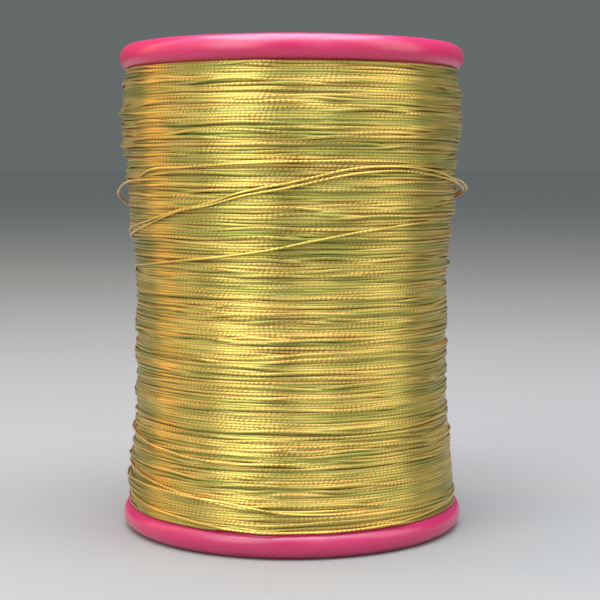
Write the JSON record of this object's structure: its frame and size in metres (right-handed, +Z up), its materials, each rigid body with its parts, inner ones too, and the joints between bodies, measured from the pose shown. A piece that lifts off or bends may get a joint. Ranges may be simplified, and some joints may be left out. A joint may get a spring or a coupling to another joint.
{
  "type": "spool of thread",
  "caption": "Full spool of metallic embroidery thread on a flanged plastic reel with a spindle bore.",
  "frame": {"origin": "centre of the bottom flange's end face, where the spool stands", "axes": "+Z up the spool's axis; -Y is the side that the picture shows"},
  "size_m": [0.05, 0.05, 0.07],
  "materials": {
    "flange_plastic": "glossy hot-pink moulded plastic",
    "barrel_plastic": "plain pink moulded plastic",
    "thread": "gold metallic yarn"
  },
  "bodies": {
    "root": {"bottom_flange": "flange_plastic", "top_flange": "flange_plastic", "barrel": "barrel_plastic", "thread_pack": "thread", "outer_turns": "thread", "loose_strand": "thread"}
  },
  "joints": []
}
